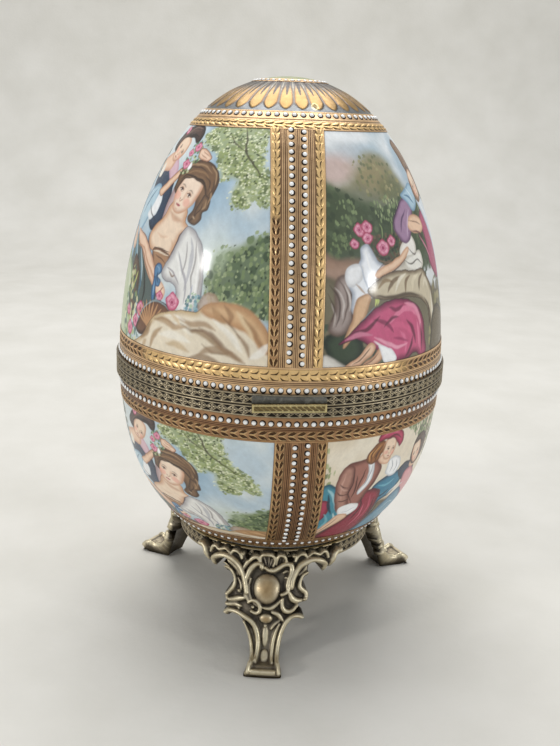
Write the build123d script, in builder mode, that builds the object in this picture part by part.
from build123d import *

import os
from math import asin, cos, radians, sin

os.makedirs("parts", exist_ok=True)

# Egg-shaped porcelain trinket box with brass rims, on a cast brass stand with three legs.
# Millimetres, +Z up. The egg's axis is Z, and Z = 0 is the table under the feet.
# The thumb bar faces -Y and the hinge is at +Y. The lid lifts off the bowl at the seam.

# ---------------------------------------------------------------- driving dimensions
# Heights of the porcelain, rims, hinge and clasp are measured from the seam, and those of
# the stand from the table.
SEAM = 119.0            # seam between lid and bowl, above the table
SEAM_GAP = 0.15         # each rim stops this far from the seam
BELLY = 73.2            # porcelain radius at the seam
WALL = 4.0              # porcelain thickness
LID_RISE = 124.5        # top of the egg
LID_POWER = 2.08        # roundness of the lid's curve, 2 being an ellipse
BOWL_DROP = 87.5        # depth at which the bowl's curve would close
BOWL_POWER = 2.4
BOWL_FLAT = 85.2        # depth of the flat under the bowl
SHELL_EDGE = 1.6        # porcelain edge, standing in the rim's channel
CURVE_POINTS = 9        # points that carry each porcelain curve

RIM_RADIUS = 75.0
RIM_HEIGHT = 4.7
RIM_WALL = 1.4          # outer wall of the rim's channel
RIM_FLOOR = 1.3         # top of the channel's floor
RIM_BORE = 68.0
RIM_INNER_WALL = 1.0
RIM_INNER_HEIGHT = 4.2
RIM_EDGE = 0.35         # softening of the rim's outer edges
LIP_BORE = 66.8         # upstanding lip of the bowl's rim
LIP_RADIUS = 67.6
LIP_HEIGHT = 2.4
CEMENT_HIGH = 4.1
CEMENT_CLEARANCE = 0.05

HINGE_Y = 77.7          # hinge axis, level with the seam
KNUCKLE_RADIUS = 2.3
KNUCKLE_LENGTH = 7.36
KNUCKLE_GAP = 0.3
KNUCKLES = 5
HINGE_LENGTH = KNUCKLES * KNUCKLE_LENGTH + (KNUCKLES - 1) * KNUCKLE_GAP
PIN_RADIUS = 0.9
PIN_CLEARANCE = 0.05
PIN_HEAD_RADIUS = 1.6
PIN_HEAD_LENGTH = 0.9
PIN_HEAD_TAPER = 28
LEAF_THICKNESS = 1.0
LEAF_HEIGHT = 4.5
LEAF_RELIEF = 0.3       # room around the other leaf's knuckles
WEB_LENGTH = 3.2

BAR_WIDTH = 29.0
BAR_HEIGHT = 3.4
BAR_DEPTH = 2.0
BAR_RISE = 0.3          # centre of the bar
BAR_TILT = 1.4          # the bar is soldered on slightly out of level, degrees
BAR_BORDER = 0.7
BAR_PANEL_DEPTH = 0.25
BAR_CHAMFER = 0.2
BED_Y = -76.2           # flat front of the pad that carries the bar
BED_LOW = 0.3
BED_HIGH = 4.3

TONGUE_THICKNESS = 0.8
TONGUE_ANGLE = 11.0     # width of the spring tongue round the rim, degrees
TONGUE_LOW = -3.6
TONGUE_HIGH = 4.0
POCKET_ANGLE = 15.0     # gap in the bowl's lip that the tongue drops into
POCKET_RADIUS = 68.4
RIVET_RADIUS = 0.8
RIVET_HEAD_RADIUS = 1.4
RIVET_HEAD_HEIGHT = 0.6
RIVET_SPACING = 7.0
RIVET_HEIGHT = 2.6
RIVET_HEAD_TAPER = 25
RIVET_STAND_OFF = 0.35    # gap between the tongue and the rivets' heads
RIVET_END_GAP = 0.12

STUD_RADIUS = 1.6       # screw that holds the bowl to the stand
STUD_END = 93.0         # depth of its tip
STUD_HEAD_RADIUS = 4.0
STUD_HEAD_HEIGHT = 2.4
STUD_HEAD_FILLET = 1.4
STUD_SLOT = 1.0
STUD_SLOT_DEPTH = 1.1
STUD_HOLE = 1.75        # hole through washers, gaskets and dish
BOWL_HOLE = 1.9
WASHER_RADIUS = 8.0
WASHER_THICKNESS = 1.0
INNER_GASKET_RADIUS = 9.0
LOWER_GASKET_RADIUS = 14.0
GASKET_THICKNESS = 1.0
NUT_SIZE = 6.4          # across flats
NUT_HEIGHT = 2.8
NUT_WASHER_RADIUS = 5.0

DISH_THICKNESS = 1.2
DISH_FLAT_RADIUS = 24.0
DISH_CONE_RADIUS = 40.5
COLLAR_RADIUS = 45.4
COLLAR_BORE = 43.9
COLLAR_TOP = 43.0
COLLAR_BOTTOM = 36.5

LEG_SCREW_RADIUS = 1.2
LEG_SCREW_HEIGHT = 39.6
LEG_SCREW_END = 47.6    # radius at which the screw's tip lies inside the leg
LEG_SCREW_HEAD_RADIUS = 1.8
LEG_SCREW_HEAD_HEIGHT = 1.3
LEG_SPREAD = 84.0       # width of a leg's crown round the collar, degrees
LEG_TOP = 42.8
LEG_SEAT = 35.0         # lowest point where a leg touches the collar
LEG_REACH = 60.0        # depth of the cut to the outline, more than a leg is deep
STAND_TURN = -5.2       # the front leg stands a little to the left of the thumb bar, degrees
FOOT_RADIUS = 78.5
BOSSES = (              # centre, way it faces, height, radius and taper of the leg's bosses
    ((54.6, 0, 28.8), (0.9, 0, 0.44), 3.6, 6.6, 32),
    ((59.0, 0, 18.3), (0.96, 0, 0.28), 2.4, 3.2, 30),
)

# Section plane through the egg's axis: X is the radius, and Y the height above the seam.
SECTION = Plane(origin=(0, 0, SEAM), x_dir=(1, 0, 0), z_dir=(0, -1, 0))
SEAM_LEVEL = Plane.XY.offset(SEAM)
HINGE_AXIS_PLANE = Plane(origin=(0, HINGE_Y, SEAM), x_dir=(0, 1, 0), z_dir=(1, 0, 0))
LID = 1
BOWL = -1
FRONT = -90.0


def save(node, name):
    """Label a finished piece and write it as one STEP file."""
    node.part.label = name
    export_step(node.part, f"parts/{name}.step")


# ---------------------------------------------------------------- porcelain
def oval_points(belly, rise, power, low, high):
    """Points of a superellipse between two heights, closest together towards the pole."""
    start = asin((low / rise) ** (power / 2))
    end = asin((high / rise) ** (power / 2))
    points = []
    for step in range(CURVE_POINTS):
        angle = start + (end - start) * step / (CURVE_POINTS - 1)
        radius = belly * max(cos(angle), 0) ** (2 / power)
        points.append((radius, rise * sin(angle) ** (2 / power)))
    return points


def flipped(points):
    """The same profile points below the seam."""
    return [(radius, -height) for radius, height in points]


lid_outer = oval_points(BELLY, LID_RISE, LID_POWER, SHELL_EDGE, LID_RISE)
lid_inner = oval_points(BELLY - WALL, LID_RISE - WALL, LID_POWER, SHELL_EDGE, LID_RISE - WALL)
lid_outer[-1] = (0, LID_RISE)
lid_inner[-1] = (0, LID_RISE - WALL)

with BuildPart() as lid_shell:
    with BuildSketch(SECTION):
        with BuildLine():
            Spline(*lid_outer, tangents=[(0, 1), (-1, 0)])
            Line(lid_outer[-1], lid_inner[-1])
            Spline(*lid_inner, tangents=[(0, 1), (-1, 0)])
            Line(lid_inner[0], lid_outer[0])
        make_face()
    revolve(axis=Axis.Z)
save(lid_shell, "lid_shell")

floor_depth = BOWL_FLAT - WALL
bowl_outer = flipped(oval_points(BELLY, BOWL_DROP, BOWL_POWER, SHELL_EDGE, BOWL_FLAT))
bowl_inner = flipped(
    oval_points(BELLY - WALL, BOWL_DROP - WALL, BOWL_POWER, SHELL_EDGE, floor_depth)
)

with BuildPart() as bowl_shell:
    with BuildSketch(SECTION):
        with BuildLine():
            Spline(*bowl_outer)
            Polyline(
                bowl_outer[-1],
                (BOWL_HOLE, -BOWL_FLAT),
                (BOWL_HOLE, -floor_depth),
                bowl_inner[-1],
            )
            Spline(*bowl_inner)
            Line(bowl_inner[0], bowl_outer[0])
        make_face()
    revolve(axis=Axis.Z)
save(bowl_shell, "bowl_shell")


# ---------------------------------------------------------------- rims and cement
def at_side(side, *points):
    """Profile points given above the seam, for the lid, or mirrored below it, for the bowl."""
    return [(radius, side * height) for radius, height in points]


channel_radius = RIM_RADIUS - RIM_WALL
channel_bore = RIM_BORE + RIM_INNER_WALL

with BuildPart() as lid_rim:
    with BuildSketch(SECTION):
        with BuildLine():
            Polyline(
                *at_side(
                    LID,
                    (RIM_BORE, SEAM_GAP),
                    (RIM_RADIUS - RIM_EDGE, SEAM_GAP),
                    (RIM_RADIUS, SEAM_GAP + RIM_EDGE),
                    (RIM_RADIUS, RIM_HEIGHT - RIM_EDGE),
                    (RIM_RADIUS - RIM_EDGE, RIM_HEIGHT),
                    (channel_radius, RIM_HEIGHT),
                    (channel_radius, RIM_FLOOR),
                    (channel_bore, RIM_FLOOR),
                    (channel_bore, RIM_INNER_HEIGHT),
                    (RIM_BORE, RIM_INNER_HEIGHT),
                ),
                close=True,
            )
        make_face()
    revolve(axis=Axis.Z)
    # Two rivet holes through the inner wall at the front.
    with BuildSketch(Plane.XZ.offset(RIM_BORE - 2)):
        with Locations((0, SEAM + RIVET_HEIGHT)):
            with GridLocations(RIVET_SPACING, 1, 2, 1):
                Circle(RIVET_RADIUS)
    extrude(amount=RIM_INNER_WALL + 2, mode=Mode.SUBTRACT)
save(lid_rim, "lid_rim")

with BuildPart() as bowl_rim:
    with BuildSketch(SECTION):
        with BuildLine():
            Polyline(
                (LIP_BORE, LIP_HEIGHT),
                (LIP_RADIUS, LIP_HEIGHT),
                (LIP_RADIUS, -SEAM_GAP),
                (RIM_RADIUS - RIM_EDGE, -SEAM_GAP),
                (RIM_RADIUS, -SEAM_GAP - RIM_EDGE),
                (RIM_RADIUS, -RIM_HEIGHT + RIM_EDGE),
                (RIM_RADIUS - RIM_EDGE, -RIM_HEIGHT),
                (channel_radius, -RIM_HEIGHT),
                (channel_radius, -RIM_FLOOR),
                (channel_bore, -RIM_FLOOR),
                (channel_bore, -RIM_INNER_HEIGHT),
                (LIP_BORE, -RIM_INNER_HEIGHT),
                close=True,
            )
        make_face()
    revolve(axis=Axis.Z)
    # The lip is cut away at the front, where the spring tongue drops in.
    pocket_reach = LIP_BORE * sin(radians(POCKET_ANGLE / 2))
    with BuildSketch(SEAM_LEVEL.offset(LIP_HEIGHT)):
        Circle(POCKET_RADIUS)
        Circle(LIP_BORE - 1, mode=Mode.SUBTRACT)
        with Locations((0, -POCKET_RADIUS)):
            Rectangle(2 * pocket_reach, pocket_reach, mode=Mode.INTERSECT)
    extrude(amount=-LIP_HEIGHT - RIM_INNER_HEIGHT, mode=Mode.SUBTRACT)
save(bowl_rim, "bowl_rim")

for side, name in ((LID, "lid_cement"), (BOWL, "bowl_cement")):
    shell_bore = BELLY - WALL - CEMENT_CLEARANCE
    with BuildPart() as cement:
        with BuildSketch(SECTION):
            with BuildLine():
                Polyline(
                    *at_side(
                        side,
                        (channel_bore, RIM_FLOOR),
                        (channel_radius, RIM_FLOOR),
                        (channel_radius, CEMENT_HIGH),
                        (BELLY, CEMENT_HIGH),
                        (BELLY, SHELL_EDGE),
                        (shell_bore, SHELL_EDGE),
                        (shell_bore, CEMENT_HIGH),
                        (channel_bore, CEMENT_HIGH),
                    ),
                    close=True,
                )
            make_face()
        revolve(axis=Axis.Z)
    save(cement, name)


# ---------------------------------------------------------------- hinge
def knuckle_starts(first):
    """Where every other knuckle begins along X, from the given one."""
    pitch = KNUCKLE_LENGTH + KNUCKLE_GAP
    return [-HINGE_LENGTH / 2 + index * pitch for index in range(first, KNUCKLES, 2)]


def hinge_leaf(side, own, other, pin_hole):
    """A leaf soldered round the back of a rim, with its own knuckles and room for the other's."""
    with BuildPart() as leaf:
        with BuildSketch(SEAM_LEVEL.offset(side * SEAM_GAP)):
            Circle(RIM_RADIUS + LEAF_THICKNESS)
            Circle(RIM_RADIUS, mode=Mode.SUBTRACT)
            with Locations((0, RIM_RADIUS)):
                Rectangle(HINGE_LENGTH, HINGE_LENGTH / 3, mode=Mode.INTERSECT)
        extrude(amount=side * (LEAF_HEIGHT - SEAM_GAP))
        for start in own:
            with BuildSketch(HINGE_AXIS_PLANE.offset(start)):
                Circle(KNUCKLE_RADIUS)
                # A web carries the knuckle back to the leaf, on the leaf's own side of the seam.
                with Locations((-WEB_LENGTH / 2, side * (SEAM_GAP + KNUCKLE_RADIUS) / 2)):
                    Rectangle(WEB_LENGTH, KNUCKLE_RADIUS - SEAM_GAP)
            extrude(amount=KNUCKLE_LENGTH)
        for start in other:
            with BuildSketch(HINGE_AXIS_PLANE.offset(start - KNUCKLE_GAP)):
                Circle(KNUCKLE_RADIUS + LEAF_RELIEF)
            extrude(amount=KNUCKLE_LENGTH + 2 * KNUCKLE_GAP, mode=Mode.SUBTRACT)
        with BuildSketch(HINGE_AXIS_PLANE.offset(-HINGE_LENGTH / 2)):
            Circle(pin_hole)
        extrude(amount=HINGE_LENGTH, mode=Mode.SUBTRACT)
        # The web is hollowed to the rim that the leaf is soldered to.
        with BuildSketch(SEAM_LEVEL):
            Circle(RIM_RADIUS)
        extrude(amount=2 * RIM_HEIGHT, both=True, mode=Mode.SUBTRACT)
    return leaf


save(
    hinge_leaf(LID, knuckle_starts(1), knuckle_starts(0), PIN_RADIUS + PIN_CLEARANCE),
    "hinge_leaf_lid",
)
save(hinge_leaf(BOWL, knuckle_starts(0), knuckle_starts(1), PIN_RADIUS), "hinge_leaf_bowl")

with BuildPart() as hinge_pin:
    with BuildSketch(HINGE_AXIS_PLANE.offset(-HINGE_LENGTH / 2)):
        Circle(PIN_RADIUS)
    extrude(amount=HINGE_LENGTH)
    for end in (-1, 1):
        with BuildSketch(HINGE_AXIS_PLANE.offset(end * HINGE_LENGTH / 2)):
            Circle(PIN_HEAD_RADIUS)
        extrude(amount=end * PIN_HEAD_LENGTH, taper=PIN_HEAD_TAPER)
save(hinge_pin, "hinge_pin")

# ---------------------------------------------------------------- thumb bar and catch
with BuildPart() as thumb_bar_bed:
    with BuildSketch(SEAM_LEVEL.offset(BED_LOW)):
        with Locations((0, BED_Y)):
            Rectangle(BAR_WIDTH, RIM_RADIUS / 6, align=(Align.CENTER, Align.MIN))
        Circle(RIM_RADIUS, mode=Mode.SUBTRACT)
    extrude(amount=BED_HIGH - BED_LOW)
save(thumb_bar_bed, "thumb_bar_bed")

BAR_PLANE = Plane(
    origin=(0, BED_Y, SEAM + BAR_RISE),
    x_dir=(cos(radians(BAR_TILT)), 0, sin(radians(BAR_TILT))),
    z_dir=(0, -1, 0),
)
with BuildPart() as thumb_bar:
    with BuildSketch(BAR_PLANE):
        Rectangle(BAR_WIDTH, BAR_HEIGHT)
    extrude(amount=BAR_DEPTH)
    chamfer(thumb_bar.faces().sort_by(Axis.Y)[0].edges(), BAR_CHAMFER)
    with BuildSketch(BAR_PLANE.offset(BAR_DEPTH)):
        Rectangle(BAR_WIDTH - 2 * BAR_BORDER, BAR_HEIGHT - 2 * BAR_BORDER)
    extrude(amount=-BAR_PANEL_DEPTH, mode=Mode.SUBTRACT)
save(thumb_bar, "thumb_bar")


with BuildPart() as catch_tongue:
    with BuildSketch(SEAM_LEVEL.offset(TONGUE_LOW)):
        with BuildLine():
            outer = CenterArc((0, 0), RIM_BORE, FRONT - TONGUE_ANGLE / 2, TONGUE_ANGLE)
            inner = CenterArc(
                (0, 0), RIM_BORE - TONGUE_THICKNESS, FRONT - TONGUE_ANGLE / 2, TONGUE_ANGLE
            )
            Line(outer @ 0, inner @ 0)
            Line(outer @ 1, inner @ 1)
        make_face()
    extrude(amount=TONGUE_HIGH - TONGUE_LOW)
    with BuildSketch(Plane.XZ.offset(RIM_BORE - 3)):
        with Locations((0, SEAM + RIVET_HEIGHT)):
            with GridLocations(RIVET_SPACING, 1, 2, 1):
                Circle(RIVET_RADIUS)
    extrude(amount=4, mode=Mode.SUBTRACT)
save(catch_tongue, "catch_tongue")

head_y = RIM_BORE - TONGUE_THICKNESS - RIVET_STAND_OFF
with BuildPart() as catch_rivets:
    with BuildSketch(Plane.XZ.offset(head_y)):
        with Locations((0, SEAM + RIVET_HEIGHT)):
            with GridLocations(RIVET_SPACING, 1, 2, 1):
                Circle(RIVET_RADIUS)
    extrude(amount=channel_bore - head_y - RIVET_END_GAP)
    with BuildSketch(Plane.XZ.offset(head_y)):
        with Locations((0, SEAM + RIVET_HEIGHT)):
            with GridLocations(RIVET_SPACING, 1, 2, 1):
                Circle(RIVET_HEAD_RADIUS)
    extrude(amount=-RIVET_HEAD_HEIGHT, taper=RIVET_HEAD_TAPER)
save(catch_rivets, "catch_rivets")

# ---------------------------------------------------------------- stand
def outward(angle, height):
    """Plane on the egg's axis that faces away from it at an angle, its X along the rim."""
    turn = radians(angle)
    return Plane(
        origin=(0, 0, height),
        x_dir=(-sin(turn), cos(turn), 0),
        z_dir=(cos(turn), sin(turn), 0),
    )


LEG_ANGLES = {
    "leg_front": FRONT + STAND_TURN,
    "leg_right": FRONT + STAND_TURN + 120,
    "leg_left": FRONT + STAND_TURN - 120,
}

with BuildPart() as stand_collar:
    with BuildSketch(Plane.XY.offset(COLLAR_BOTTOM)):
        Circle(COLLAR_RADIUS)
        Circle(COLLAR_BORE, mode=Mode.SUBTRACT)
    extrude(amount=COLLAR_TOP - COLLAR_BOTTOM)
    for angle in LEG_ANGLES.values():
        with BuildSketch(outward(angle, LEG_SCREW_HEIGHT).offset(COLLAR_BORE - 1)):
            Circle(LEG_SCREW_RADIUS)
        extrude(amount=COLLAR_RADIUS - COLLAR_BORE + 2, mode=Mode.SUBTRACT)
save(stand_collar, "stand_collar")

dish_centre = SEAM - BOWL_FLAT - GASKET_THICKNESS
dish_flange = COLLAR_BOTTOM + DISH_THICKNESS
with BuildPart() as base_dish:
    with BuildSketch(Plane.XZ):
        with BuildLine():
            Polyline(
                (STUD_HOLE, dish_centre),
                (DISH_FLAT_RADIUS, dish_centre),
                (DISH_CONE_RADIUS, dish_flange),
                (COLLAR_BORE, dish_flange),
                (COLLAR_BORE, COLLAR_BOTTOM),
                (DISH_CONE_RADIUS, COLLAR_BOTTOM),
                (DISH_FLAT_RADIUS, dish_centre - DISH_THICKNESS),
                (STUD_HOLE, dish_centre - DISH_THICKNESS),
                close=True,
            )
        make_face()
    revolve(axis=Axis.Z)
save(base_dish, "base_dish")


def flat_ring(level, radius, bore, thickness):
    """A washer or gasket whose lower face is at a level above the table."""
    with BuildPart() as ring:
        with BuildSketch(Plane.XY.offset(level)):
            Circle(radius)
            Circle(bore, mode=Mode.SUBTRACT)
        extrude(amount=thickness)
    return ring


bowl_floor = SEAM - floor_depth
washer_level = bowl_floor + GASKET_THICKNESS
head_level = washer_level + WASHER_THICKNESS
nut_top = dish_centre - DISH_THICKNESS - WASHER_THICKNESS

save(flat_ring(dish_centre, LOWER_GASKET_RADIUS, STUD_HOLE, GASKET_THICKNESS), "lower_gasket")
save(flat_ring(bowl_floor, INNER_GASKET_RADIUS, STUD_HOLE, GASKET_THICKNESS), "inner_gasket")
save(flat_ring(washer_level, WASHER_RADIUS, STUD_HOLE, WASHER_THICKNESS), "screw_washer")
save(flat_ring(nut_top, NUT_WASHER_RADIUS, STUD_HOLE, WASHER_THICKNESS), "nut_washer")

with BuildPart() as stand_nut:
    with BuildSketch(Plane.XY.offset(nut_top)):
        RegularPolygon(NUT_SIZE / 2, 6, major_radius=False)
        Circle(STUD_RADIUS, mode=Mode.SUBTRACT)
    extrude(amount=-NUT_HEIGHT)
save(stand_nut, "stand_nut")

with BuildPart() as stand_screw:
    with BuildSketch(Plane.XY.offset(head_level)):
        Circle(STUD_RADIUS)
    extrude(amount=-(head_level - SEAM + STUD_END))
    with BuildSketch(Plane.XY.offset(head_level)):
        Circle(STUD_HEAD_RADIUS)
    extrude(amount=STUD_HEAD_HEIGHT)
    fillet(stand_screw.edges().sort_by(Axis.Z)[-1], STUD_HEAD_FILLET)
    with BuildSketch(Plane.XY.offset(head_level + STUD_HEAD_HEIGHT)):
        Rectangle(3 * STUD_HEAD_RADIUS, STUD_SLOT)
    extrude(amount=-STUD_SLOT_DEPTH, mode=Mode.SUBTRACT)
save(stand_screw, "stand_screw")

with BuildPart() as leg_screws:
    for angle in LEG_ANGLES.values():
        face_plane = outward(angle, LEG_SCREW_HEIGHT)
        with BuildSketch(face_plane.offset(COLLAR_BORE - 1)):
            Circle(LEG_SCREW_RADIUS)
        extrude(amount=LEG_SCREW_END - COLLAR_BORE + 1)
        with BuildSketch(face_plane.offset(COLLAR_BORE - 0.05)):
            Circle(LEG_SCREW_HEAD_RADIUS)
        extrude(amount=-LEG_SCREW_HEAD_HEIGHT)
save(leg_screws, "leg_screws")

# ---------------------------------------------------------------- legs
# One casting, drawn pointing along +X, then placed three times. Its front-to-back shape is a
# section swung round the egg's axis, cut to the outline that shows from in front.
knee_front = [
    (48.6, LEG_TOP),
    (49.8, 38.0),
    (53.6, 32.8),
    (57.2, 27.0),
    (59.6, 20.5),
    (61.6, 13.5),
    (64.2, 8.0),
]
instep = [
    (64.2, 8.0),
    (67.6, 4.6),
    (71.2, 3.9),
    (74.8, 5.0),
    (77.6, 3.2),
    (FOOT_RADIUS, 0.8),
]
toe_under = [(FOOT_RADIUS, 0.8), (77.6, 0.3), (76.0, 1.5), (73.4, 0.0)]
knee_back = [
    (62.2, 0.0),
    (60.2, 4.5),
    (58.4, 10.5),
    (56.4, 17.0),
    (53.8, 23.0),
    (49.8, 28.6),
    (46.2, 32.6),
]

outline = [
    # crown: shell lobes in the middle, then the wing along the collar
    [(0.0, 41.8), (2.8, 42.8), (5.8, 42.4), (7.6, 40.4)],
    [(7.6, 40.4), (10.8, 41.2), (14.6, 40.0), (19.0, 41.6), (24.0, 41.6), (29.4, 42.8)],
    [(29.4, 42.8), (30.0, 41.0), (27.6, 39.4), (25.4, 37.4), (22.4, 36.2)],
    [(22.4, 36.2), (21.2, 38.2), (18.8, 39.0), (16.8, 37.4), (16.2, 35.2)],
    # waist, side scrolls and ear
    [(16.2, 35.2), (14.4, 33.4), (12.7, 30.6), (13.6, 27.8), (16.2, 26.0)],
    [(16.2, 26.0), (15.2, 23.8), (15.8, 21.6), (16.6, 19.0)],
    [(16.6, 19.0), (14.4, 18.2), (12.0, 19.4), (9.6, 18.0), (7.8, 14.0), (6.9, 9.0), (6.3, 5.0)],
]
foot_side = [(6.3, 5.0), (6.9, 0.0)]

with BuildPart() as leg_casting:
    start = radians(-LEG_SPREAD / 2)
    first_section = Plane(
        origin=(0, 0, 0),
        x_dir=(cos(start), sin(start), 0),
        z_dir=(sin(start), -cos(start), 0),
    )
    with BuildSketch(first_section):
        with BuildLine():
            Spline(*knee_front)
            Spline(*instep)
            Spline(*toe_under)
            Line(toe_under[-1], knee_back[0])
            Spline(*knee_back)
            Polyline(
                knee_back[-1],
                (COLLAR_RADIUS, LEG_SEAT),
                (COLLAR_RADIUS, LEG_TOP),
                knee_front[0],
            )
        make_face()
    revolve(axis=Axis.Z, revolution_arc=LEG_SPREAD)
    with BuildSketch(Plane.YZ.offset(COLLAR_BORE / 2)):
        with BuildLine():
            for stretch in outline:
                Spline(*stretch)
            Line(*foot_side)
            Line(foot_side[-1], (0, 0))
            mirror(about=Plane.YZ)
        make_face()
    extrude(amount=LEG_REACH, mode=Mode.INTERSECT)
    # Round boss on the knee, and the small one below it.
    for origin, facing, height, radius, taper in BOSSES:
        with BuildSketch(Plane(origin=origin, x_dir=(0, 1, 0), z_dir=facing)):
            Circle(radius)
        extrude(amount=height, taper=taper)
    # Screw hole from behind.
    with BuildSketch(outward(0, LEG_SCREW_HEIGHT).offset(COLLAR_RADIUS - 1)):
        Circle(LEG_SCREW_RADIUS)
    extrude(amount=LEG_SCREW_END - COLLAR_RADIUS + 1, mode=Mode.SUBTRACT)

for name, angle in LEG_ANGLES.items():
    with BuildPart() as leg:
        add(leg_casting.part, rotation=(0, 0, angle))
    save(leg, name)
